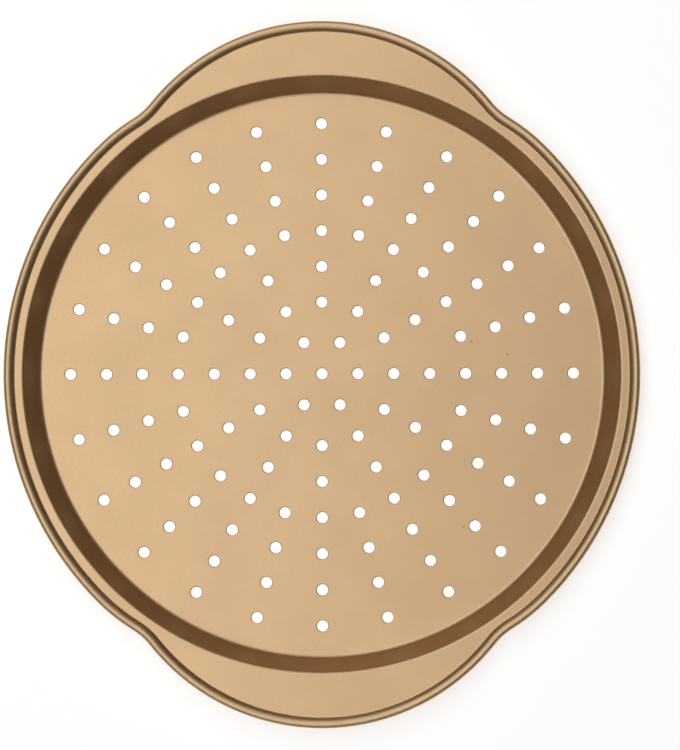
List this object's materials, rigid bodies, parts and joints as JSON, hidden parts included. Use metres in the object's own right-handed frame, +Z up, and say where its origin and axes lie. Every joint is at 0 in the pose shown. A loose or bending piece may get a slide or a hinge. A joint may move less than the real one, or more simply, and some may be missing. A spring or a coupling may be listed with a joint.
{
  "type": "perforated pizza pan",
  "caption": "Round pressed-steel pizza pan with a perforated floor, a low sloped wall, a wired curled rim and two wide handle lobes.",
  "frame": {"origin": "middle of the floor's underside, on the surface that the pan stands on", "axes": "+Z up; Y runs through the two handles; X across the plain sides"},
  "size_m": [0.3336, 0.3708, 0.016],
  "materials": {
    "gold_coating": "champagne-gold metallic non-stick coating, satin, on pressed steel",
    "wire_steel": "bare drawn steel wire"
  },
  "bodies": {
    "root": {"pan_body": "gold_coating", "rim_wire": "wire_steel"}
  },
  "joints": []
}
